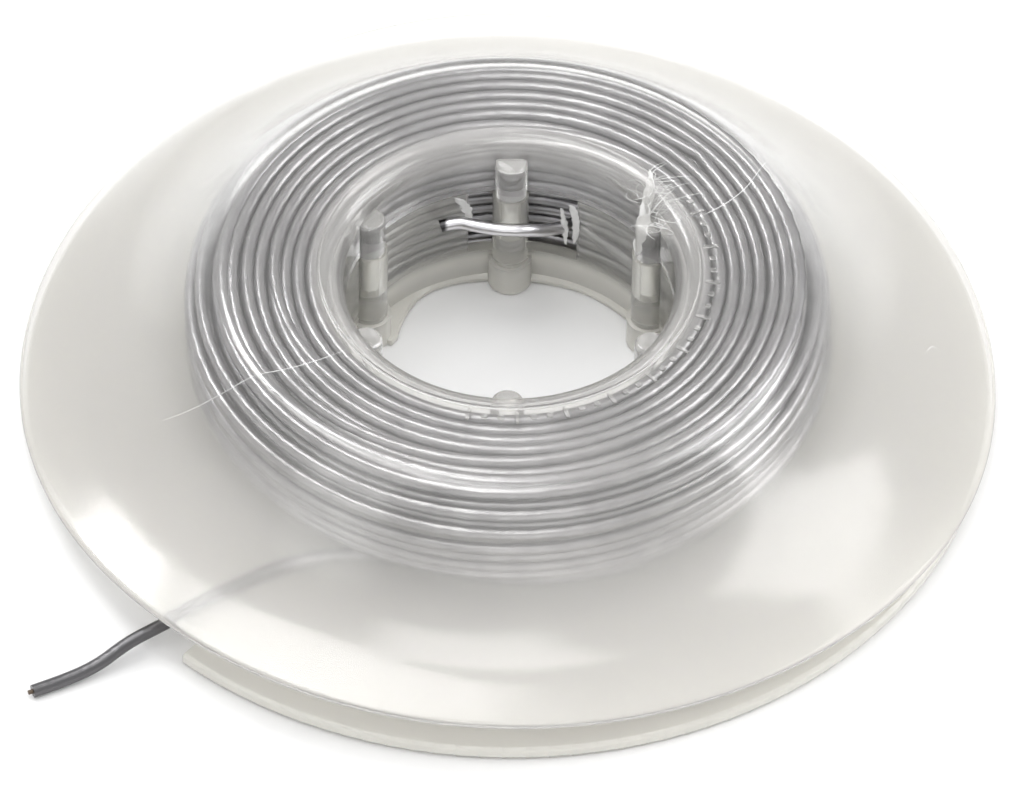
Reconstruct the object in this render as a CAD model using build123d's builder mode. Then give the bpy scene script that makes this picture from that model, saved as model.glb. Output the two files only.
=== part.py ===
"""Snap-together spool of solder wire: two thin plastic halves, the winding and the wire's two ends.

Millimetres, +Z up. The origin is on the spool's axis at the table that its lower flange lies on.
"""

from build123d import *

import math
import os

os.makedirs("parts", exist_ok=True)

# ---- driving dimensions -------------------------------------------------------------------------
wire_d = 1.0  # solder wire
core_d = 0.35  # flux core inside it

hub_h = 14.6  # top of the collar round the bore
bore_r = 12.6
wall = 0.9  # hub wall, both halves
seam_z = 9.7  # the lower hub ends here and the upper one stands on it
seam_gap = 0.05

base_r = 36.8  # lower flange
base_t = 1.1
cover_r = 37.5  # upper flange
cover_t = 0.7
cover_top = 14.5  # upper flange where it lies over the winding
rim_z = 3.0  # upper flange's top edge, which leaves a slot one wire wide over the lower flange

collar_r = 14.4  # raised ring at the top of the bore
collar_round = 1.8

rib_count = 6
rib_seat_r = 12.4  # the ribs' centre circle
rib_d = 2.8  # lower ribs
rib_top_d = 2.45  # upper ribs
foot_d = 3.4
foot_h = 2.6
pin_d = 1.5  # pins under the upper ribs
pin_len = 4.0
socket_d = 1.6  # running fit for the pins
socket_spare = 0.4

window_from = 66.0  # degrees, the opening in the lower hub that the wire's start comes through
window_to = 105.0
sill_z = 3.2

recess_to = 229.2  # degrees, the step that ends the recess in the lower flange's rim
recess_from = 193.0  # where the recess fades out
recess_depth = 2.4  # at the step

rim_round = 0.3  # lower flange's outer edge
pin_tip = 0.3  # chamfer

winding_in = bore_r + wall + 0.3
winding_low = base_t + 0.3

# ---- values worked out from them ----------------------------------------------------------------
hub_r = bore_r + wall
skirt_z = seam_z + seam_gap
rib_top_z = hub_h - 1.5
recess_shift = recess_depth / math.sin(math.radians(recess_to - recess_from))

# The upper flange's top outline, from the collar over the winding and down to its rim.
cover_line = [
    (bore_r + 1.3, cover_top),
    (22.2, cover_top - 0.1),
    (26.6, 9.4),
    (30.6, 6.1),
    (cover_r, rim_z),
]
cover_bends = [2.0, 7.0, 14.0]

# The winding's outline: packed square against the hub, bulged at mid height.
winding_line = [
    (winding_in, winding_low),
    (winding_in, 13.5),
    (21.4, 13.4),
    (23.2, 11.7),
    (24.3, 9.6),
    (24.3, 7.0),
    (22.8, 3.8),
    (20.6, winding_low),
]

# The wire's outer end: from inside the winding, out between the flanges and onto the table.
tail_route = [
    (-8.2, -19.0, 2.8),
    (-12.6, -18.3, 2.2),
    (-17.2, -19.6, 1.8),
    (-21.6, -22.4, 1.72),
    (-25.4, -25.3, 1.7),
    (-28.2, -26.9, 1.3),
    (-30.3, -28.8, 0.8),
    (-33.0, -30.25, 0.52),
    (-35.5, -31.4, 0.5),
]

# The wire's inner end: out of the winding low in the window, up and across the rib to the wall.
start_route = [
    (5.4, 13.7, 5.4),
    (3.0, 11.2, 6.8),
    (1.0, 10.2, 7.9),
    (-2.4, 10.2, 7.95),
    (-5.2, 10.7, 7.6),
]


def bend_radii(route):
    """One radius for each inner point: 0.45 of its shorter run over the tangent of half its turn."""
    points = [Vector(*p) for p in route]
    radii = []
    for a, b, c in zip(points, points[1:], points[2:]):
        shorter = min((b - a).length, (c - b).length)
        half_turn = math.radians((b - a).get_angle(c - b)) / 2
        radii.append(0.45 * shorter / math.tan(half_turn))
    return radii


def spot(angle, radius):
    """A point on a circle about the axis."""
    return (radius * math.cos(math.radians(angle)), radius * math.sin(math.radians(angle)))


rib_spots = [spot(90 + 360 / rib_count * i, rib_seat_r) for i in range(rib_count)]


def sector(angle_from, angle_to, radius):
    """A pie slice's corners, wide enough to cut a wall of that radius."""
    reach = radius / math.cos(math.radians(angle_to - angle_from) / 2)
    return [(0, 0), spot(angle_from, reach), spot(angle_to, reach)]


def write(node, name):
    node.part.label = name
    export_step(node.part, f"parts/{name}.step")
    print(name, "volume", round(node.part.volume, 1))


# ---- lower half: flat flange, hub wall, ribs with sockets ---------------------------------------
with BuildPart() as lower_half:
    with BuildSketch(Plane.XZ):
        with BuildLine():
            Polyline(
                (bore_r, 0),
                (base_r, 0),
                (base_r, base_t),
                (hub_r, base_t),
                (hub_r, seam_z),
                (bore_r, seam_z),
                close=True,
            )
        make_face()
        fillet(vertices().group_by(Axis.X)[-1], radius=rim_round)
    revolve(axis=Axis.Z)
    with BuildSketch(Plane.XY.offset(sill_z)):  # the window behind the back rib
        with BuildLine():
            Polyline(*sector(window_from, window_to, hub_r + wall), close=True)
        make_face()
    extrude(amount=seam_z - sill_z, mode=Mode.SUBTRACT)
    with BuildSketch(Plane.XY):
        with Locations(*rib_spots):
            Circle(rib_d / 2)
        Circle(hub_r, mode=Mode.INTERSECT)
    extrude(amount=seam_z)
    with BuildSketch(Plane.XY):  # each rib stands on a wider foot
        with Locations(*rib_spots):
            Circle(foot_d / 2)
        Circle(hub_r, mode=Mode.INTERSECT)
    extrude(amount=foot_h)
    with BuildSketch(Plane.XY.offset(seam_z)):
        with Locations(*rib_spots):
            Circle(socket_d / 2)
    extrude(amount=-(pin_len + socket_spare), mode=Mode.SUBTRACT)
    with BuildSketch(Plane.XY):  # the recess where the wire leaves: the rim's circle, moved off
        with BuildLine():
            Polyline(*sector(recess_from - 10, recess_to, base_r + 2), close=True)
        make_face()
        with Locations(spot(recess_from - 90, recess_shift)):
            Circle(base_r, mode=Mode.SUBTRACT)
    extrude(amount=base_t, mode=Mode.SUBTRACT)
write(lower_half, "lower_half")

# ---- upper half: collar, hub skirt, thin domed flange, ribs with pins ---------------------------
with BuildPart() as upper_half:
    with BuildSketch(Plane.XZ):
        with BuildLine():
            Polyline(
                (bore_r, skirt_z),
                (bore_r, hub_h),
                (collar_r, hub_h),
                (collar_r, cover_top - cover_t / 2),
                (hub_r, cover_top - 2 * cover_t),
                (hub_r, skirt_z),
                close=True,
            )
        make_face()
        fillet(vertices().group_by(Axis.Y)[-1].sort_by(Axis.X)[0], radius=collar_round)
    revolve(axis=Axis.Z)
    with BuildSketch(Plane.XZ):
        with BuildLine():
            FilletPolyline(*cover_line, radius=cover_bends)
            offset(amount=cover_t, side=Side.RIGHT)
        make_face()
    revolve(axis=Axis.Z)
    with BuildSketch(Plane.XY.offset(skirt_z)):
        with Locations(*rib_spots):
            Circle(rib_top_d / 2)
        Circle(hub_r, mode=Mode.INTERSECT)
    extrude(amount=rib_top_z - skirt_z)
    with BuildSketch(Plane.XY.offset(skirt_z)):
        with Locations(*rib_spots):
            Circle(pin_d / 2)
    extrude(amount=-pin_len)
    chamfer(edges().group_by(Axis.Z)[0], length=pin_tip)
write(upper_half, "upper_half")

# ---- the winding's outer shape ------------------------------------------------------------------
with BuildPart() as solder_winding:
    with BuildSketch(Plane.XZ):
        with BuildLine():
            Polyline(*winding_line, close=True)
        make_face()
        fillet(vertices(), radius=wire_d / 2)
    revolve(axis=Axis.Z)
write(solder_winding, "solder_winding")


def wire_end(route, outer_d, inner_d=0):
    """A round wire along a route of straight runs and arcs, hollow if it has an inner diameter."""
    radii = bend_radii(route)
    with BuildPart() as wire:
        with BuildLine():
            middle = FilletPolyline(*route, radius=radii)
        with BuildSketch(Plane(origin=middle @ 0, z_dir=middle % 0)):
            Circle(outer_d / 2)
            if inner_d:
                Circle(inner_d / 2, mode=Mode.SUBTRACT)
        sweep()
    section = math.pi * (outer_d**2 - inner_d**2) / 4
    print("length", round(middle.length, 2), "radii", [round(r, 1) for r in radii])
    print("section times length", round(section * middle.length, 2))
    return wire


write(wire_end(tail_route, wire_d, core_d), "solder_tail")
write(wire_end(tail_route, core_d), "flux_core")
write(wire_end(start_route, wire_d), "solder_start")
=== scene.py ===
"""The looks of a snap-together spool of solder wire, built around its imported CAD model.

Metres, +Z up, the spool's axis on the Z axis and its lower flange on the floor at z = 0.
"""

import math

import bmesh
import bpy
import numpy as np
from bpy.props import FloatProperty, FloatVectorProperty, IntProperty, PointerProperty
from mathutils import Matrix, Vector


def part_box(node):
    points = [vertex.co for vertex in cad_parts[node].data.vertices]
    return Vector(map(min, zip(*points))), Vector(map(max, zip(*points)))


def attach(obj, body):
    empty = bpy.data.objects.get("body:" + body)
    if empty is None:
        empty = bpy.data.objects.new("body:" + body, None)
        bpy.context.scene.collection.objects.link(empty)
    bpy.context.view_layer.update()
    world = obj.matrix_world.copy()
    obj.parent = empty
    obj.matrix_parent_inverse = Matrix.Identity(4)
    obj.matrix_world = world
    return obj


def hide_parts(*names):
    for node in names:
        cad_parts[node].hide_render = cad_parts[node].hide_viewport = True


bl_info = {
    "name": "Solder wire spool",
    "version": (1, 0, 0),
    "blender": (4, 5, 0),
    "location": "3D View > Sidebar > Spool",
    "description": "Builds a plastic spool of solder wire, its finishes and a plain studio",
    "category": "Add Mesh",
}

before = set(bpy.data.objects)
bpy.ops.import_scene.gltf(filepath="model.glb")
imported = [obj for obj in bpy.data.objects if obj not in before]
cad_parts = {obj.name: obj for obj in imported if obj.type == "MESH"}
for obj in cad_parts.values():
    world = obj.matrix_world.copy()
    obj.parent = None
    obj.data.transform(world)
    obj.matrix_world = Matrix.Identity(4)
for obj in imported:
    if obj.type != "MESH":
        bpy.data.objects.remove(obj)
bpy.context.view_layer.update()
UPPER_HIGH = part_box("upper_half")[1]
LOWER_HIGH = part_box("lower_half")[1]

MM = 0.001
BORE_R = 12.6 * MM
HUB_R = 13.5 * MM
SEAM_Z = LOWER_HIGH[2]
HUB_TOP = UPPER_HIGH[2]
COVER_R = UPPER_HIGH[0]
RIB_COUNT = 6
RIB_SEAT_R = 12.4 * MM
RIB_R = 1.22 * MM
RIB_TOP = HUB_TOP - 1.5 * MM
RIB_ROUND = 0.35 * MM
PIN_R = 0.75 * MM
PIN_LENGTH = 4.0 * MM
PIN_TIP = 0.3 * MM
WIRE_D = 1.0 * MM
FLUX_D = 0.35 * MM
PLASTIC_IOR = 1.49


# ---- property groups ----------------------------------------------------------------------------


def length(name, default, description):
    """A length in metres."""
    return FloatProperty(
        name=name, description=description, default=default, unit="LENGTH", precision=5
    )


def colour(name, default, description):
    """A linear colour."""
    return FloatVectorProperty(
        name=name, description=description, default=default, subtype="COLOR", min=0, max=1
    )


class SpoolCoverSettings(bpy.types.PropertyGroup):
    """The upper flange's skin and how its rim is bent."""

    thickness: length("Skin", 0.7 * MM, "Thickness of the upper flange")
    rim_height: length("Rim height", 2.9 * MM, "Mean height of the upper flange's top edge")
    rim_lowest: length("Lowest rim", 1.95 * MM, "The edge rests on the lower flange here")
    front_lift: length("Front lift", 1.05 * MM, "How much the rim rises in front")
    side_drop: length("Side drop", 1.42 * MM, "How much the rim sinks at both sides")
    third_wave: length("Third wave", 0.72 * MM, "Height of the rim's three-fold wave")
    left_lift: length("Left lift", 0.4 * MM, "How much the rim rises on the left")
    fold_r: length("Front fold", 32.4 * MM, "Radius of the soft fold in front")


class SpoolWireSettings(bpy.types.PropertyGroup):
    """The wire and how it is wound."""

    diameter: length("Wire", WIRE_D, "Diameter of the solder wire")
    pitch: length("Pitch", 1.04 * MM, "Height between turns of one layer")
    layers: IntProperty(
        name="Layers", description="Layers of the winding", default=10, min=2, max=12
    )
    points_per_turn: IntProperty(
        name="Points", description="Control points for each turn", default=16, min=12, max=32
    )


class SpoolFinishSettings(bpy.types.PropertyGroup):
    """The colours of the plastic, the solder and its core."""

    cover_tint: colour("Upper plastic", (0.975, 0.962, 0.94), "Milky, see-through upper half")
    base_tint: colour("Lower plastic", (0.99, 0.972, 0.915), "Lower half, a little yellower")
    torn_tint: colour("Torn plastic", (0.94, 0.94, 0.93), "Where the plastic is torn and white")
    solder_tint: colour("Solder", (0.325, 0.32, 0.33), "Bright drawn tin solder")
    flux_tint: colour("Flux", (0.10, 0.07, 0.045), "Resin core")


class SpoolStageSettings(bpy.types.PropertyGroup):
    """The floor and the camera's distance."""

    floor_tint: colour("Floor", (0.81, 0.81, 0.81), "Plain pale floor")
    distance: length("Distance", 0.9, "From the camera to the spool")


# ---- shader helpers -----------------------------------------------------------------------------


class Sock:
    """A node's output socket: arithmetic on it adds Math nodes, and add() makes any other node."""

    def __init__(self, tree, socket=None):
        self.tree = tree
        self.socket = socket

    def add(self, kind, settings=None, inputs=None, output=0):
        """A node of that type with its settings, then its sockets' values or links."""
        node = self.tree.nodes.new(kind)
        for name, value in (settings or {}).items():
            setattr(node, name, value)
        for key, value in (inputs or {}).items():
            if isinstance(value, Sock):
                self.tree.links.new(value.socket, node.inputs[key])
            else:
                node.inputs[key].default_value = value
        return Sock(self.tree, node.outputs[output] if len(node.outputs) else None)

    def math(self, operation, *values):
        """A Math node on sockets and numbers."""
        return self.add("ShaderNodeMath", {"operation": operation}, dict(enumerate(values)))

    def __add__(self, other):
        return self.math("ADD", self, other)

    def __radd__(self, other):
        return self.math("ADD", other, self)

    def __sub__(self, other):
        return self.math("SUBTRACT", self, other)

    def __rsub__(self, other):
        return self.math("SUBTRACT", other, self)

    def __mul__(self, other):
        return self.math("MULTIPLY", self, other)

    def __rmul__(self, other):
        return self.math("MULTIPLY", other, self)

    def noise(self, where, scale, detail=2.0, rough=0.5, centred=False):
        """Noise from 0 to 1, or about 0 when centred; scale is in features per metre."""
        return self.add(
            "ShaderNodeTexNoise",
            {"normalize": not centred},
            {"Vector": where, "Scale": scale, "Detail": detail, "Roughness": rough},
        )

    def between(self, mask, low, high):
        """low where the mask is 0 and high where it is 1."""
        return self.math("MULTIPLY_ADD", mask, high - low, low)

    def blend(self, mask, first, second):
        """The first colour where the mask is 0 and the second where it is 1."""
        first, second = ((*c, 1) if isinstance(c, tuple) else c for c in (first, second))
        return self.add(
            "ShaderNodeMix", {"data_type": "RGBA"}, {0: mask, 6: first, 7: second}, 2
        )

    def step(self, value, low, high):
        """0 below low and 1 above high, smooth between."""
        return self.add(
            "ShaderNodeMapRange",
            {"interpolation_type": "SMOOTHSTEP"},
            {"Value": value, "From Min": low, "From Max": high},
        )


def new_material(name):
    """An empty node material: the material, a maker of nodes, and the object's own coordinates."""
    material = bpy.data.materials.new(name)
    material.use_nodes = True
    material.node_tree.nodes.clear()
    sock = Sock(material.node_tree)
    return material, sock, sock.add("ShaderNodeTexCoord", output="Object")


def surface(sock, inputs):
    """One Principled surface joined to the material's output."""
    shader = sock.add("ShaderNodeBsdfPrincipled", {}, inputs)
    sock.add("ShaderNodeOutputMaterial", {}, {"Surface": shader})


def shade(tint, factor):
    """The tint times a factor, at most white."""
    return tuple(min(1.0, part * factor) for part in tint)


def milky_plastic(name, tint, haze, clear_rough, cloudy):
    """Moulded plastic, clear where the mask is 0 and cloudy where it is 1.

    Fine flow ripples bend what shows through it, and handling has dulled it in soft patches.
    """
    material, sock, where = new_material(name)
    dull = sock.noise(where, 160.0, 1.0)
    ripple = sock.noise(where, 220.0, 1.0, 0.5, True)
    bump = sock.add(
        "ShaderNodeBump", {}, {"Strength": 0.12, "Distance": 0.00006, "Height": ripple}
    )
    cloud = sock.noise(where, 90.0, 2.0)
    clear = sock.add(
        "ShaderNodeBsdfPrincipled",
        {},
        {
            "Base Color": sock.blend(cloud, shade(tint, 1.05), shade(tint, 1.08)),
            "Roughness": sock.between(dull, clear_rough, clear_rough + 0.08),
            "IOR": PLASTIC_IOR,
            "Transmission Weight": 1.0,
            "Normal": bump,
        },
    )
    milky = sock.add(
        "ShaderNodeBsdfPrincipled",
        {},
        {
            "Base Color": sock.blend(cloud, shade(tint, 0.99), shade(tint, 1.015)),
            "Roughness": sock.between(dull, 0.14, 0.21),
            "IOR": PLASTIC_IOR,
            "Transmission Weight": haze,
            "Normal": bump,
        },
    )
    mixed = sock.add(
        "ShaderNodeMixShader", {}, {0: cloudy(sock, where), 1: clear, 2: milky}
    )
    sock.add("ShaderNodeOutputMaterial", {}, {"Surface": mixed})
    return material


def radius_of(sock, where):
    """Distance from the spool's axis."""
    flat = sock.add("ShaderNodeVectorMath", {"operation": "MULTIPLY"}, {0: where, 1: (1, 1, 0)})
    return sock.add("ShaderNodeVectorMath", {"operation": "LENGTH"}, {0: flat}, 1)


def height_of(sock, where):
    """Height above the floor."""
    return sock.add("ShaderNodeSeparateXYZ", {}, {"Vector": where}, 2)


def upper_cloud(sock, where):
    """The upper half is milky at its collar, clear against the wire, cloudy on its free flange.

    In front it stands a little off the wire, so more haze shows there.
    """
    radius = radius_of(sock, where)
    depth = sock.add("ShaderNodeSeparateXYZ", {}, {"Vector": where}, 1)
    loose = sock.step(0.0 - depth, 11.0 * MM, 21.0 * MM) * sock.noise(where, 70.0, 1.0)
    ribs = 1.0 - sock.step(radius, 12.3 * MM, 12.55 * MM)
    far = sock.step(radius, 23.2 * MM, 29.0 * MM)
    near = 1.0 - sock.step(radius, 14.4 * MM, 15.6 * MM)
    near = near * sock.step(height_of(sock, where), 11.5 * MM, 13.6 * MM)
    return sock.between(far, 0.2, 0.8) + near * 0.5 + loose * 0.4 + ribs * 0.3


def lower_cloud(sock, where):
    """The lower half is cloudy, clearer up its hub's wall between the ribs."""
    low = 1.0 - sock.step(height_of(sock, where), 2.2 * MM, 4.0 * MM)
    ribs = 1.0 - sock.step(radius_of(sock, where), 12.3 * MM, 12.55 * MM)
    return sock.math("MAXIMUM", low * 0.9, ribs * 0.2 + 0.17)


def solder(name, tint):
    """Drawn tin wire: greyed in patches and darker towards its free end; the start is lightened.

    Painted highlight: the start inside the bore is lightened. Partly painted shade: the darkening
    from 24.5 mm out covers where the wire runs under the upper flange. The cut inner end is dark.
    """
    material, sock, where = new_material(name)
    patch = sock.step(sock.noise(where, 420.0, 2.0), 0.35, 0.7)
    dent = sock.noise(where, 1500.0, 1.0, 0.5, True)
    bump = sock.add(
        "ShaderNodeBump", {}, {"Strength": 0.3, "Distance": 0.00004, "Height": dent}
    )
    radius = radius_of(sock, where)
    across = sock.add("ShaderNodeSeparateXYZ", {}, {"Vector": where}, 0)
    # painted highlight: the wire inside the bore, round the hub, is lightened
    inner = 1.0 - sock.step(radius, 12.6 * MM, 13.6 * MM)
    # partly painted shade: darker where the wire runs out under the upper flange, and on to its free
    # end
    outer = sock.step(radius, 24.5 * MM, 27.0 * MM)
    cut = inner * (1.0 - sock.step(across, -5.1 * MM, -4.7 * MM))
    tone = sock.blend(patch, shade(tint, 1.1), shade(tint, 0.9))
    # inner lightens it (painted highlight), outer darkens it (partly painted shade under the upper
    # flange), cut darkens the cut end
    for mask, factor in ((inner, 2.3), (outer, 0.4), (cut, 0.15)):
        tone = sock.blend(mask, tone, shade(tint, factor))
    surface(
        sock,
        {
            "Base Color": tone,
            "Metallic": 1.0,
            "Roughness": sock.between(patch, 0.28, 0.36),
            "Normal": bump,
        },
    )
    return material


def matte(name, tint, scale, spread, rough, cover=1.0):
    """A dull finish with a soft mottle, as thin as cover says."""
    material, sock, where = new_material(name)
    mottle = sock.noise(where, scale, 3.0)
    surface(
        sock,
        {
            "Base Color": sock.blend(mottle, shade(tint, 1 - spread), shade(tint, 1 + spread)),
            "Roughness": sock.between(mottle, rough - 0.05, rough + 0.05),
            "Alpha": cover,
        },
    )
    return material


# ---- mesh helpers -------------------------------------------------------------------------------


def place(name, mesh, material):
    """An object for a mesh, at the origin, with its material."""
    piece = bpy.data.objects.new(name, mesh)
    bpy.context.scene.collection.objects.link(piece)
    mesh.materials.append(material)
    return piece


def grid_faces(rows, columns, close_rows, close_columns):
    """Quads over a grid of rows by columns points, joined round where it closes."""
    i = np.arange(rows if close_rows else rows - 1)[:, None]
    j = np.arange(columns if close_columns else columns - 1)[None, :]
    k, m = (i + 1) % rows, (j + 1) % columns
    quads = [i * columns + j, i * columns + m, k * columns + m, k * columns + j]
    return np.stack(np.broadcast_arrays(*quads), axis=-1).reshape(-1, 4)


def mesh_from(name, points, faces, sharp_angle=50.0):
    """A smooth mesh from an array of points and an array of quads; points that meet are welded."""
    mesh = bpy.data.meshes.new(name)
    sides = faces.shape[1]
    mesh.vertices.add(len(points))
    mesh.vertices.foreach_set("co", points.astype(np.float32).ravel())
    mesh.loops.add(faces.size)
    mesh.loops.foreach_set("vertex_index", faces.astype(np.int32).ravel())
    mesh.polygons.add(len(faces))
    mesh.polygons.foreach_set("loop_start", np.arange(0, faces.size, sides, dtype=np.int32))
    mesh.polygons.foreach_set("use_smooth", np.ones(len(faces), dtype=bool))
    mesh.update(calc_edges=True)
    work = bmesh.new()
    work.from_mesh(mesh)
    bmesh.ops.remove_doubles(work, verts=work.verts, dist=1e-7)
    work.to_mesh(mesh)
    work.free()
    mesh.validate()
    mesh.set_sharp_from_angle(angle=math.radians(sharp_angle))
    return mesh


def copies(faces, count):
    """The same faces for several equal grids that follow one another."""
    size = faces.max() + 1
    return (faces[None] + size * np.arange(count)[:, None, None]).reshape(-1, 4)


def tubes(paths, radius, taper=0.25, sides=6):
    """Thin round hairs: rings square to each path, which narrow to its ends and close there.

    Each point is path + radius * width(t) * (side * cos a + over * sin a).
    """
    paths = np.asarray(paths, float)
    count, steps, _ = paths.shape
    along = np.gradient(paths, axis=1)
    along /= np.linalg.norm(along, axis=2, keepdims=True)
    side = np.cross(along, (0.31, -0.22, 0.92))
    side /= np.linalg.norm(side, axis=2, keepdims=True)
    over = np.cross(along, side)
    t = np.linspace(0, 1, steps)
    width = radius * np.minimum(1, np.minimum(t, 1 - t) / taper) ** 0.5
    a = np.linspace(0, 2 * np.pi, sides, endpoint=False)[:, None]
    ring = side[:, :, None] * np.cos(a) + over[:, :, None] * np.sin(a)
    points = paths[:, :, None] + ring * width[None, :, None, None]
    return points.reshape(-1, 3), copies(grid_faces(steps, sides, False, True), count)


def flake(spine, widths, side, crumple, seed, thickness=0.16 * MM, columns=9, rows=24):
    """A torn scrap: a closed sheet along a Bezier spine, as wide as widths says, crumpled by sines.

    The spine and the widths are in millimetres.
    Point = spine(v) + side * width(v) * u + crumple * sines of u and v, once for each face.
    """
    v = np.linspace(0, 1, rows)
    degree = len(spine) - 1
    share = [math.comb(degree, k) * v**k * (1 - v) ** (degree - k) for k in range(degree + 1)]
    share = np.stack(share, axis=1)
    middle, width = share @ np.asarray(spine) * MM, share @ np.asarray(widths) * MM
    side = np.asarray(side, float)
    rng = np.random.default_rng(seed)
    width = width * (1 + 0.5 * (rng.random(rows) - 0.5))
    along = np.gradient(middle, axis=0)
    out = np.cross(along, side)
    out /= np.linalg.norm(out, axis=1, keepdims=True)
    a = np.linspace(0, 2 * np.pi, 2 * columns, endpoint=False)
    u, lift = np.cos(a), np.sin(a)
    wave = np.sin(7 * v[:, None] + 2.4 * u + seed) + 0.6 * np.sin(19 * v[:, None] - 3 * u)
    depth = crumple * wave + thickness / 2 * lift * np.sin(np.pi * (0.04 + 0.92 * v[:, None]))
    points = middle[:, None] + side * (width[:, None, None] * u[:, None] / 2)
    points = points + out[:, None] * depth[..., None]
    points[0], points[-1] = points[0].mean(0), points[-1].mean(0)
    return points.reshape(-1, 3), grid_faces(rows, 2 * columns, False, True)


def smoothstep(x):
    """3x^2 - 2x^3, from 0 at 0 to 1 at 1, and level outside."""
    x = np.clip(x, 0, 1)
    return x * x * (3 - 2 * x)


def run(a, b, count):
    """Points from a towards b, without b."""
    t = np.arange(count)[:, None] / count
    return np.asarray(a) * (1 - t) + np.asarray(b) * t


def bow(centre, radius, start, end, count):
    """Points along an arc, in degrees, without its end."""
    t = np.radians(start + (end - start) * np.arange(count) / count)
    return np.stack([centre[0] + radius * np.cos(t), centre[1] + radius * np.sin(t)], axis=1)


# ---- the upper half -----------------------------------------------------------------------------

COLLAR_ROUND = 1.8 * MM
COLLAR_R = BORE_R + COLLAR_ROUND
COVER_TOP = HUB_TOP - 0.12 * MM
SKIRT_Z = SEAM_Z + 0.05 * MM
DRAPE_R = 23.0 * MM  # the flange is free to warp outside this
CORNER_R = 0.8 * MM  # the bend from the flange's underside down into the hub
FOOT_STEPS = 4  # points across the hub's foot, from its outer face to the ribs

# How steeply the flange falls at each radius: flat over the winding, steep beside it, then flatter.
SLOPE_R = np.array([14.4, 21.4, 23.0, 25.4, 27.4, 31.0, 34.0, 37.5]) * MM
SLOPE = np.array([0.0, -0.02, -0.92, -1.10, -0.98, -0.62, -0.42, -0.38])


def cover_profile(count=90):
    """Radius, height and slope along the flange's top: the height is the running sum of the slope."""
    r = np.linspace(COLLAR_R + 0.12 * MM, COVER_R - 0.35 * MM, count)
    slope = np.interp(r, SLOPE_R, SLOPE)
    fall = np.concatenate([[0], np.cumsum((slope[1:] + slope[:-1]) / 2 * np.diff(r))])
    return r, COVER_TOP + fall, slope


def rim_target(phi, s):
    """Height of the rim's top edge round the spool: a mean, one wave, two waves and three waves."""
    wave = (
        s.rim_height
        - s.left_lift * np.cos(phi)
        - s.front_lift * np.sin(phi)
        - s.side_drop * np.cos(2 * phi)
        - s.third_wave * np.sin(3 * phi)
    )
    over = wave - s.rim_lowest
    soft = 0.35 * MM
    return s.rim_lowest + soft * np.logaddexp(0, over / soft)


def arc_mask(phi, start, end, fade):
    """1 between two angles in degrees and 0 outside, with soft ends."""
    middle, half = np.radians((start + end) / 2), np.radians((end - start) / 2)
    away = np.abs((phi - middle + np.pi) % (2 * np.pi) - np.pi)
    return 1 - smoothstep((away - half) / np.radians(fade) + 0.5)


def fold_radius(phi):
    """Radius of the soft crease at the back left: an arc that meets the rim at the back."""
    centre_x, centre_y, radius = 0.8 * MM, 5.3 * MM, 31.5 * MM
    along = centre_x * np.cos(phi) + centre_y * np.sin(phi)
    across = centre_x * np.sin(phi) - centre_y * np.cos(phi)
    return along + np.sqrt(radius**2 - across**2)


def warp(r, phi, s):
    """How far the flexible flange is lifted: nothing over the winding, all of it at the rim."""
    base_rim = cover_profile()[1][-1]
    wide = smoothstep((r - DRAPE_R) / (COVER_R - DRAPE_R) * 0.5) * 2
    back = arc_mask(phi, 104, 186, 26)
    front = arc_mask(phi, 238, 303, 30)
    start = back * fold_radius(phi) + (1 - back) * s.fold_r
    start = np.minimum(start, COVER_R - 1.2 * MM)
    soft = 0.45 * MM
    folded = soft * np.logaddexp(0, (r - start) / soft) / (COVER_R - start)
    share = 0.62 * np.maximum(back, front)
    return (rim_target(phi, s) - base_rim) * (wide * (1 - share) + folded * share)


def rib_angles():
    """Angles round the hub, closer together across each rib."""
    step = 2 * np.pi / RIB_COUNT
    half = math.asin(RIB_R / RIB_SEAT_R)
    across = half * np.sin(np.linspace(-np.pi / 2, np.pi / 2, 25))
    between = np.linspace(half + 0.006, step - half - 0.006, 34)
    one = np.concatenate([across, between])
    return np.concatenate([one + math.pi / 2 + step * i for i in range(RIB_COUNT)])


def ribbed(r, z, phi, rib_r, top, edge):
    """The bore wall with its ribs: where a rib's circle stands in the bore, its face is the wall.

    The circle shrinks along a quarter round at the rib's flat top.
    """
    step = 2 * np.pi / RIB_COUNT
    off = (phi - math.pi / 2 + step / 2) % step - step / 2
    over = np.clip((z - (top - edge)) / edge, 0, 1)
    size = np.where(z < top, rib_r - edge * (1 - np.sqrt(1 - over**2)), 0)
    inside = size**2 - (RIB_SEAT_R * np.sin(off)) ** 2
    face = RIB_SEAT_R * np.cos(off) - np.sqrt(np.maximum(inside, 0))
    return np.where(inside > 0, np.minimum(r, face), r)


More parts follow.
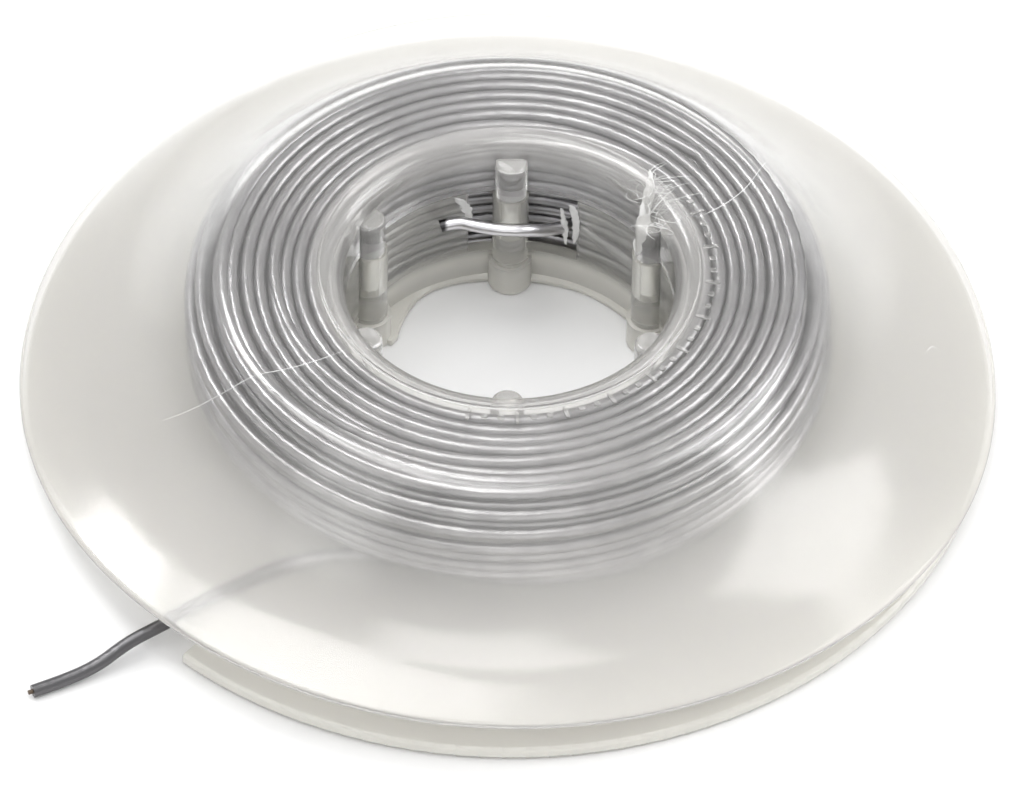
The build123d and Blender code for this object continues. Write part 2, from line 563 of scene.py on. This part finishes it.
def upper_mesh(s):
    """A closed section carried round the axis: bore wall, collar, flange, rim, underside, hub."""
    r, z, slope = cover_profile()
    tilt = np.sqrt(1 + slope**2)
    top = np.stack([r, z], axis=1)
    under = np.stack([r + slope * s.thickness / tilt, z - s.thickness / tilt], axis=1)
    rim_centre = (top[-1] + under[-1]) / 2
    lean = math.degrees(math.atan2(1, -slope[-1]))
    rim = bow(rim_centre, s.thickness / 2, lean, lean - 180, 8)[1:]
    wall_top = HUB_TOP - COLLAR_ROUND
    rib_edge = RIB_TOP - RIB_ROUND
    bore = np.concatenate(
        [
            run((BORE_R, SKIRT_Z), (BORE_R, rib_edge), 8),
            run((BORE_R, rib_edge), (BORE_R, wall_top), 2),
        ]
    )
    flare = bow((COLLAR_R, wall_top), COLLAR_ROUND, 180, 90, 40)
    step = run((COLLAR_R, HUB_TOP), (COLLAR_R + 0.1 * MM, COVER_TOP + 0.03 * MM), 3)
    bend_r, bend_z = HUB_R + CORNER_R, under[0][1] - CORNER_R
    corner = bow((bend_r, bend_z), CORNER_R, 90, 180, 6)
    inner = under[::-1][np.flatnonzero(under[::-1][:, 0] > bend_r)]
    outer = run((HUB_R, bend_z), (HUB_R, SKIRT_Z), 8)
    foot = run((HUB_R, SKIRT_Z), (BORE_R, SKIRT_Z), FOOT_STEPS)
    section = np.concatenate([bore, flare, step, top, rim, inner, corner, outer, foot])
    phi = rib_angles()[None, :]
    r, z = section[:, :1] + 0 * phi, section[:, 1:] + 0 * phi
    in_bore = len(bore) + len(flare)
    r[:in_bore] = ribbed(r[:in_bore], z[:in_bore], phi, RIB_R, RIB_TOP, RIB_ROUND)
    z = z + warp(r, phi, s)
    foot_share = np.linspace(1, 0, FOOT_STEPS, endpoint=False)[:, None]
    r[-FOOT_STEPS:] = r[0] + (HUB_R - r[0]) * foot_share
    points = np.stack([r * np.cos(phi), r * np.sin(phi), z], axis=-1).reshape(-1, 3)
    faces = grid_faces(*z.shape, True, True)
    return points, faces[:, ::-1]


def pin_mesh(count=20):
    """Six pins with a chamfered tip: a profile turned round each rib's own axis."""
    high, low = SKIRT_Z - 0.01 * MM, SEAM_Z - PIN_LENGTH
    shoulder, end = (PIN_R, low + PIN_TIP), (PIN_R - PIN_TIP, low)
    profile = np.array([(0, high), (PIN_R, high), shoulder, end, (0, low)])
    t = np.linspace(0, 2 * np.pi, count, endpoint=False)
    spots = math.pi / 2 + 2 * np.pi / RIB_COUNT * np.arange(RIB_COUNT)
    x = RIB_SEAT_R * np.cos(spots)[:, None, None] + profile[None, :, :1] * np.cos(t)
    y = RIB_SEAT_R * np.sin(spots)[:, None, None] + profile[None, :, :1] * np.sin(t)
    z = np.broadcast_to(profile[None, :, 1:], x.shape)
    points = np.stack([x, y, z], axis=-1).reshape(-1, 3)
    return points, copies(grid_faces(len(profile), count, False, True), RIB_COUNT)


class SPOOL_OT_upper_half(bpy.types.Operator):
    """Upper half: collar, ribs, pins and the thin warped flange"""

    bl_idname = "spool.upper_half"
    bl_label = "Upper half"

    def execute(self, context):
        s, finish = context.scene.spool_cover, context.scene.spool_finish
        material = milky_plastic("upper_plastic", finish.cover_tint, 0.8, 0.08, upper_cloud)
        shell = place("upper_shell", mesh_from("upper_shell", *upper_mesh(s)), material)
        pins = place("upper_pins", mesh_from("upper_pins", *pin_mesh(), 30.0), material)
        for piece in (shell, pins):
            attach(piece, "cover")
            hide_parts("upper_half")
        return {"FINISHED"}


# ---- small things on the upper half --------------------------------------------------------------


def cover_height(r, phi, s):
    """Height of the flange's top at a radius and an angle."""
    line_r, line_z, _ = cover_profile()
    return np.interp(r, line_r, line_z) + warp(r, phi, s)


def on_cover(start, end, bend, s, steps=40, lift=0.03 * MM):
    """A hair lying on the flange: radius and angle run evenly, bent sideways by part of a sine."""
    t = np.linspace(0, 1, steps)
    r = start[0] + (end[0] - start[0]) * t
    phi = np.radians(start[1] + (end[1] - start[1]) * t + bend * np.sin(np.pi * t))
    return np.stack([r * np.cos(phi), r * np.sin(phi), cover_height(r, phi, s) + lift], axis=1)


MARKS_R = 15.45 * MM
MARKS_FROM, MARKS_TO, MARKS_STEP = 259.0, 391.0, 4.6  # degrees


class SPOOL_OT_collar_marks(bpy.types.Operator):
    """Plain raised bars and dots round the collar, in place of moulded lettering"""

    bl_idname = "spool.collar_marks"
    bl_label = "Collar marks"

    def execute(self, context):
        angles = np.radians(np.arange(MARKS_FROM, MARKS_TO, MARKS_STEP))
        bar = np.arange(len(angles)) % 3 == 0
        half_out = np.where(bar, 0.62, 0.26)[:, None, None] * MM
        half_along = np.where(bar, 0.17, 0.26)[:, None, None] * MM
        # A dome: each ring's size and height, closed at the top and below.
        size = np.array([0, 1, 0.94, 0.72, 0.4, 0])[None, :, None]
        rise = np.array([-0.08, -0.05, 0.04, 0.08, 0.095, 0.1])[None, :, None] * MM
        a = np.linspace(0, 2 * np.pi, 12, endpoint=False)
        square = np.sign(np.cos(a)) * np.abs(np.cos(a)) ** 0.5
        square_y = np.sign(np.sin(a)) * np.abs(np.sin(a)) ** 0.5
        out = MARKS_R + half_out * size * square
        along = half_along * size * square_y
        c, k = np.cos(angles)[:, None, None], np.sin(angles)[:, None, None]
        z = COVER_TOP + rise + 0 * out
        points = np.stack([out * c - along * k, out * k + along * c, z], axis=-1).reshape(-1, 3)
        faces = copies(grid_faces(6, 12, False, True), len(angles))
        mesh = mesh_from("collar_marks", points, faces, 70.0)
        marks = place("collar_marks", mesh, bpy.data.materials["upper_plastic"])
        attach(marks, "cover")
        return {"FINISHED"}


def collar_height(reach):
    """Height in millimetres of the plastic under a fibre: up the collar's bend, then its top."""
    bend = 12.75 + 1.3 * np.clip(reach - BORE_R / MM, 0, COLLAR_ROUND / MM) ** 0.5
    return np.where(reach > 13.9, 14.5, bend)


def fibre_paths(count=46, steps=14, seed=11):
    """Fibres in millimetres: root + way * t + curl * sin(2.6 t), kept above the collar."""
    rng = np.random.default_rng(seed)
    t = np.linspace(0, 1, steps)[None, :, None]
    root = np.array((10.6, 7.6, 13.6)) + rng.normal(0, 1, (count, 1, 3)) * (0.35, 1.1, 0.5)
    way = rng.normal(0, 1, (count, 1, 3)) * (1.5, 1.2, 0.25) + (0.5, 0.4, 0.35)
    curl = rng.normal(0, 0.5, (count, 1, 3)) * (1, 1, 0.4)
    paths = root + way * t + curl * np.sin(2.6 * t)
    reach = np.linalg.norm(paths[..., :2], axis=2)
    paths[..., 2] = np.clip(paths[..., 2], collar_height(reach), 14.95)
    return paths


class SPOOL_OT_torn_rib(bpy.types.Operator):
    """Torn plastic and fine fibres where one rib's top has been scraped, and hairs on the flange"""

    bl_idname = "spool.torn_rib"
    bl_label = "Torn rib"

    def execute(self, context):
        s, finish = context.scene.spool_cover, context.scene.spool_finish
        torn = matte("torn_plastic", finish.torn_tint, 1500.0, 0.04, 0.6, 0.62)
        spine = [(9.7, 5.6, 10.1), (9.8, 6.1, 11.6), (10.3, 6.9, 12.9), (10.7, 8.2, 14.2)]
        spine += [(10.8, 9.4, 14.72), (10.5, 10.3, 14.78)]
        widths = [0.5, 1.5, 1.2, 0.9, 0.7, 0.1]
        scrap = mesh_from("torn_scrap", *flake(spine, widths, (0.87, -0.5, 0), 0.1 * MM, 3), 80.0)
        fibres = mesh_from("torn_fibres", *tubes(fibre_paths() * MM, 0.024 * MM), 80.0)
        hairs = [
            on_cover((14.8 * MM, 216), (28.5 * MM, 202), 2.5, s),
            on_cover((15.0 * MM, 21), (23.4 * MM, 33), -2.0, s),
            on_cover((31.9 * MM, 1.0), (32.9 * MM, 2.6), 0.9, s),
        ]
        hair = mesh_from("fine_hairs", *tubes(hairs, 0.03 * MM), 80.0)
        for name, mesh in (("torn_scrap", scrap), ("torn_fibres", fibres), ("fine_hairs", hair)):
            piece = place(name, mesh, torn)
            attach(piece, "cover")
        return {"FINISHED"}


# ---- the lower half -----------------------------------------------------------------------------


class SPOOL_OT_lower_half(bpy.types.Operator):
    """Lower half: the CAD shape with its plastic finish"""

    bl_idname = "spool.lower_half"
    bl_label = "Lower half"

    def execute(self, context):
        finish = context.scene.spool_finish
        material = milky_plastic("lower_plastic", finish.base_tint, 0.42, 0.06, lower_cloud)
        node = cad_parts["lower_half"]
        for slot in node.material_slots:
            slot.material = material
        return {"FINISHED"}


def lip_mesh(count=180):
    """A thin lip left by the mould in the foot of the bore, wider beside one rib's foot.

    A flat closed section, from the bore's wall in to a radius that depends on the angle.
    """
    phi = np.linspace(0, 360, count, endpoint=False)
    inner = 12.3 + 0.12 * np.sin(np.radians(3 * phi + 40)) + 0.1 * np.sin(np.radians(7 * phi))
    web = np.interp(phi, [118, 126, 146, 150, 154], [12.4, 12.1, 10.3, 10.3, 12.4])
    inner = np.minimum(inner, web)[None, :] * MM
    outer = 12.62 * MM + 0 * inner
    r = np.concatenate([outer, inner + 0.15 * MM, inner, inner, outer])
    z = np.array([0.55, 0.45, 0.3, 0.02, 0.02])[:, None] * MM + 0 * r
    a = np.radians(phi)
    points = np.stack([r * np.cos(a), r * np.sin(a), z], axis=-1).reshape(-1, 3)
    return points, grid_faces(5, count, True, True)


class SPOOL_OT_mould_flash(bpy.types.Operator):
    """Mould flash: the lip in the foot of the bore and torn slivers at the hub's window"""

    bl_idname = "spool.mould_flash"
    bl_label = "Mould flash"

    def execute(self, context):
        lip = mesh_from("bore_lip", *lip_mesh(), 35.0)
        right = [(3.9, 12.1, 8.4), (4.1, 11.95, 7.2), (4.2, 11.8, 6.2), (4.3, 11.75, 4.6)]
        edge = [(4.6, 11.65, 9.2), (5.2, 11.35, 8.0), (5.1, 11.4, 6.6), (4.9, 11.5, 5.0)]
        left = [(-4.3, 11.8, 9.6), (-3.7, 12.0, 8.9), (-3.1, 12.1, 8.2), (-3.2, 12.0, 6.4)]
        flat = (0.95, -0.3, 0)
        slivers = [
            ("window_sliver", flake(right, [0.2, 0.75, 0.6, 0.15], flat, 0.05 * MM, 5)),
            ("window_edge", flake(edge, [0.4, 0.9, 0.7, 0.2], flat, 0.04 * MM, 8)),
            ("window_scrap", flake(left, [0.3, 1.0, 0.9, 0.2], (0.95, 0.3, 0), 0.06 * MM, 6)),
        ]
        parts = [place("bore_lip", lip, bpy.data.materials["lower_plastic"])]
        for name, (points, faces) in slivers:
            mesh = mesh_from(name, points, faces, 80.0)
            parts.append(place(name, mesh, bpy.data.materials["torn_plastic"]))
        for piece in parts:
            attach(piece, "base")
        return {"FINISHED"}


# ---- the solder wire ----------------------------------------------------------------------------

# From the wire's cut inner end, round the back rib and out by the window.
START_ROUTE = [
    (-5.4, 10.65, 7.6),
    (-4.1, 11.0, 7.85),
    (-2.6, 10.4, 7.95),
    (-0.8, 10.05, 7.95),
    (1.2, 10.15, 7.85),
    (2.8, 11.0, 7.0),
    (4.1, 12.4, 5.9),
    (5.3, 13.6, 5.4),
]

# From inside the winding, between the flanges and out onto the table.
TAIL_ROUTE = [
    (-8.2, -19.0, 2.8),
    (-12.6, -18.3, 2.2),
    (-17.2, -19.6, 1.8),
    (-21.6, -22.4, 1.72),
    (-25.4, -25.3, 1.7),
    (-28.2, -26.9, 1.3),
    (-30.3, -28.8, 0.8),
    (-33.0, -30.25, 0.52),
    (-35.5, -31.4, 0.5),
]

FIRST_LAYER_R = 15.0 * MM
LOWEST_Z = 1.9 * MM
HIGHEST_Z = 13.22 * MM


def layer_span(r):
    """The lowest and highest turn of a layer: the winding tapers towards its lower outer corner."""
    low = LOWEST_Z + max(0, 1.12 * (r - 19.8 * MM))
    high = HIGHEST_Z - max(0, 1.25 * (r - 21.9 * MM))
    return low, high


def winding_points(s):
    """The wound turns, as control points from the inner layer to the outer one.

    The angle runs clockwise with the count of turns t. Radius and height run straight from key to
    key: up one layer, down the next, with about half a turn of rest at each end. Small sines of t,
    larger in the outer layers, make the turns uneven.
    """
    keys = [(0.0, HUB_R + 0.6 * MM, 5.0 * MM), (0.8, HUB_R + 0.6 * MM, LOWEST_Z)]

    def key(turns, r, z):
        """The next key, so many turns after the last one."""
        keys.append((keys[-1][0] + turns, r, z))

    for layer in range(s.layers):
        r = FIRST_LAYER_R + layer * s.diameter * (1.0 if layer < 9 else 0.98)
        low, high = layer_span(r)
        first, last = (low, high) if layer % 2 == 0 else (high, low)
        hold = 0.55 + 0.25 * ((layer * 0.618) % 1)
        key(0.16, r, first)
        key(hold, r, first)
        key(abs(last - first) / s.pitch, r, last)
        key(hold, r, last)
    key(0.25, 23.2 * MM, 5.2 * MM)
    key(0.22, 22.2 * MM, 3.5 * MM)
    key(0.14, 20.9 * MM, 2.9 * MM)
    start_angle = math.radians(62)
    end_angle = math.atan2(TAIL_ROUTE[0][1], TAIL_ROUTE[0][0])
    turns, radii, heights = np.array(keys).T
    rest = ((start_angle - end_angle) / (2 * math.pi)) % 1
    whole = math.floor(turns[-1]) + rest
    turns = turns * whole / turns[-1]
    steps = int(round(whole * s.points_per_turn))
    t = np.linspace(0, whole, steps + 1)[:-1]
    r = np.interp(t, turns, radii)
    z = np.interp(t, turns, heights)
    loose = 0.03 * MM + 0.09 * MM * smoothstep((r - 17 * MM) / (6 * MM))
    loose = loose * smoothstep(t / 1.5) * smoothstep((whole - t) / 1.5)
    r = r + loose * (np.sin(2.39 * t + 0.4) + 0.6 * np.sin(7.1 * t) + 0.5 * np.sin(0.61 * t + 2))
    z = z - loose * 0.5 * (1 + np.sin(3.17 * t + 1.0))
    r = r / np.cos(np.pi / s.points_per_turn)
    angle = start_angle - 2 * np.pi * t
    return np.stack([r * np.cos(angle), r * np.sin(angle), z], axis=1)


def wire_curve(name, points, diameter, smooth, sides):
    """A round wire on one smooth NURBS line through its control points."""
    curve = bpy.data.curves.new(name, "CURVE")
    curve.dimensions = "3D"
    curve.bevel_depth = diameter / 2
    curve.bevel_resolution = sides
    curve.use_fill_caps = True
    curve.resolution_u = smooth
    curve.render_resolution_u = smooth
    line = curve.splines.new("NURBS")
    line.points.add(len(points) - 1)
    spots = np.concatenate([points, np.ones((len(points), 1))], axis=1)
    line.points.foreach_set("co", spots.astype(np.float32).ravel())
    line.order_u = 3
    line.use_endpoint_u = True
    line.resolution_u = smooth
    line.use_smooth = True
    return curve


def line_length(curve):
    """The length of a curve's centreline."""
    bare = curve.copy()
    bare.bevel_depth = 0
    helper = bpy.data.objects.new("measure", bare)
    mesh = bpy.data.meshes.new_from_object(helper)
    points = np.array([v.co for v in mesh.vertices])
    bpy.data.objects.remove(helper)
    bpy.data.meshes.remove(mesh)
    bpy.data.curves.remove(bare)
    return float(np.linalg.norm(np.diff(points, axis=0), axis=1).sum())


class SPOOL_OT_solder_wire(bpy.types.Operator):
    """The whole solder wire: start, winding and free end in one line"""

    bl_idname = "spool.solder_wire"
    bl_label = "Solder wire"

    def execute(self, context):
        s, finish = context.scene.spool_wire, context.scene.spool_finish
        start = np.array(START_ROUTE) * MM
        tail = np.array(TAIL_ROUTE) * MM
        points = np.concatenate([start, winding_points(s), tail])
        curve = wire_curve("solder_wire", points, s.diameter, 4, 3)
        curve.materials.append(solder("solder", finish.solder_tint))
        wire = bpy.data.objects.new("solder_wire", curve)
        context.scene.collection.objects.link(wire)
        core = wire_curve("flux_core", tail[-3:], FLUX_D, 4, 2)
        core.materials.append(matte("flux", finish.flux_tint, 3000.0, 0.15, 0.45))
        flux = bpy.data.objects.new("flux_end", core)
        context.scene.collection.objects.link(flux)
        for piece in (wire, flux):
            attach(piece, "base")
        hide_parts("solder_winding", "solder_start", "solder_tail")
        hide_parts("flux_core")
        round(line_length(curve), 2)
        return {"FINISHED"}


# ---- the studio ---------------------------------------------------------------------------------


# Each lamp's place in metres, its size in metres and its power in watts.
LAMPS = {
    "front_top": ((-0.04, -0.17, 0.74), 0.34, 1.35),
    "back_top": ((-0.17, 0.20, 0.72), 0.30, 1.5),
    "front_left": ((-0.58, -0.42, 0.54), 0.34, 0.45),
    "right": ((0.60, 0.05, 0.50), 0.50, 3.0),
    "front": ((0.06, -0.70, 0.42), 0.50, 0.25),
    "front_low": ((0.10, -0.75, 0.14), 0.40, 0.45),
    "back_left": ((-0.42, 0.42, 0.66), 0.22, 1.7),
}
HORIZON_LIGHT, ZENITH_LIGHT = 0.91, 0.73

CAMERA_LENS = 411.7  # millimetres, on a sensor 36 mm wide
CAMERA_RISE = 47.1  # degrees above the floor
CAMERA_ROLL = 1.02  # degrees
CAMERA_AIM = Vector((0.65, -3.65, 3.6)) * MM
FLOOR_HALF = 1.5
FLOOR_Z = -0.0001


def lamp(name, place_at, aim, size, watts):
    """A square soft light that faces a point."""
    light = bpy.data.lights.new(name, "AREA")
    light.size = size
    light.energy = watts
    holder = bpy.data.objects.new(name, light)
    holder.location = place_at
    holder.rotation_euler = (Vector(aim) - Vector(place_at)).to_track_quat("-Z", "Y").to_euler()
    bpy.context.scene.collection.objects.link(holder)


def sky():
    """A soft white dome, darker towards the horizon."""
    world = bpy.data.worlds.new("studio")
    world.use_nodes = True
    world.node_tree.nodes.clear()
    sock = Sock(world.node_tree)
    way = sock.add("ShaderNodeTexCoord", output="Generated")
    height = sock.add("ShaderNodeSeparateXYZ", {}, {"Vector": way}, 2)
    strength = sock.between(sock.step(height, 0.0, 0.9), HORIZON_LIGHT, ZENITH_LIGHT)
    back = sock.add("ShaderNodeBackground", {}, {"Color": (1, 1, 1, 1), "Strength": strength})
    sock.add("ShaderNodeOutputWorld", {}, {"Surface": back})
    bpy.context.scene.world = world


class SPOOL_OT_stage(bpy.types.Operator):
    """Floor, lights, sky and camera"""

    bl_idname = "spool.stage"
    bl_label = "Studio"

    def execute(self, context):
        s = context.scene.spool_stage
        corners = np.array([(-1, -1), (1, -1), (1, 1), (-1, 1)]) * FLOOR_HALF
        corners = np.concatenate([corners, np.full((4, 1), FLOOR_Z)], axis=1)
        mesh = mesh_from("floor", corners, np.array([[0, 1, 2, 3]]))
        floor = place("floor", mesh, matte("floor_paint", s.floor_tint, 4.0, 0.004, 0.7))
        sky()
        middle = Vector((0, 0, HUB_TOP / 2))
        for name, (place_at, size, watts) in LAMPS.items():
            lamp(name, place_at, middle, size, watts)
        camera = bpy.data.cameras.new("camera")
        camera.sensor_width = 36.0
        camera.lens = CAMERA_LENS
        camera.clip_end = 10.0
        holder = bpy.data.objects.new("camera", camera)
        rise = math.radians(CAMERA_RISE)
        back = Vector((0, -math.cos(rise), math.sin(rise)))
        holder.location = Vector((0, 0, 0.007)) + s.distance * back
        turn = (CAMERA_AIM - holder.location).to_track_quat("-Z", "Y").to_matrix()
        roll = Matrix.Rotation(math.radians(CAMERA_ROLL), 3, "Z")
        holder.rotation_euler = (turn @ roll).to_euler()
        context.scene.collection.objects.link(holder)
        context.scene.camera = holder
        context.scene.view_settings.view_transform = "Standard"
        return {"FINISHED"}


# ---- panel and start ----------------------------------------------------------------------------


class SPOOL_PT_panel(bpy.types.Panel):
    """Lists what the spool is made of"""

    bl_label = "Solder spool"
    bl_idname = "SPOOL_PT_panel"
    bl_space_type = "VIEW_3D"
    bl_region_type = "UI"
    bl_category = "Spool"

    def draw(self, context):
        for operator in OPERATORS:
            self.layout.operator(operator.bl_idname)
        for group in GROUPS:
            settings = getattr(context.scene, group)
            for name in settings.__annotations__:
                self.layout.prop(settings, name)


GROUPS = {
    "spool_cover": SpoolCoverSettings,
    "spool_wire": SpoolWireSettings,
    "spool_finish": SpoolFinishSettings,
    "spool_stage": SpoolStageSettings,
}
OPERATORS = (
    SPOOL_OT_stage,
    SPOOL_OT_lower_half,
    SPOOL_OT_solder_wire,
    SPOOL_OT_upper_half,
    SPOOL_OT_collar_marks,
    SPOOL_OT_torn_rib,
    SPOOL_OT_mould_flash,
)


def register():
    """Make the classes and their settings known to Blender."""
    for cls in (*GROUPS.values(), *OPERATORS, SPOOL_PT_panel):
        bpy.utils.register_class(cls)
    for name, group in GROUPS.items():
        setattr(bpy.types.Scene, name, PointerProperty(type=group))


def unregister():
    """Take the classes and their settings away again."""
    for name in GROUPS:
        delattr(bpy.types.Scene, name)
    for cls in (SPOOL_PT_panel, *reversed(OPERATORS), *reversed(GROUPS.values())):
        bpy.utils.unregister_class(cls)


def main():
    """Build the stage and every piece."""
    register()
    bpy.ops.spool.stage()
    bpy.ops.spool.lower_half()
    bpy.ops.spool.solder_wire()
    bpy.ops.spool.upper_half()
    bpy.ops.spool.collar_marks()
    bpy.ops.spool.torn_rib()
    bpy.ops.spool.mould_flash()


if __name__ == "__main__":
    main()
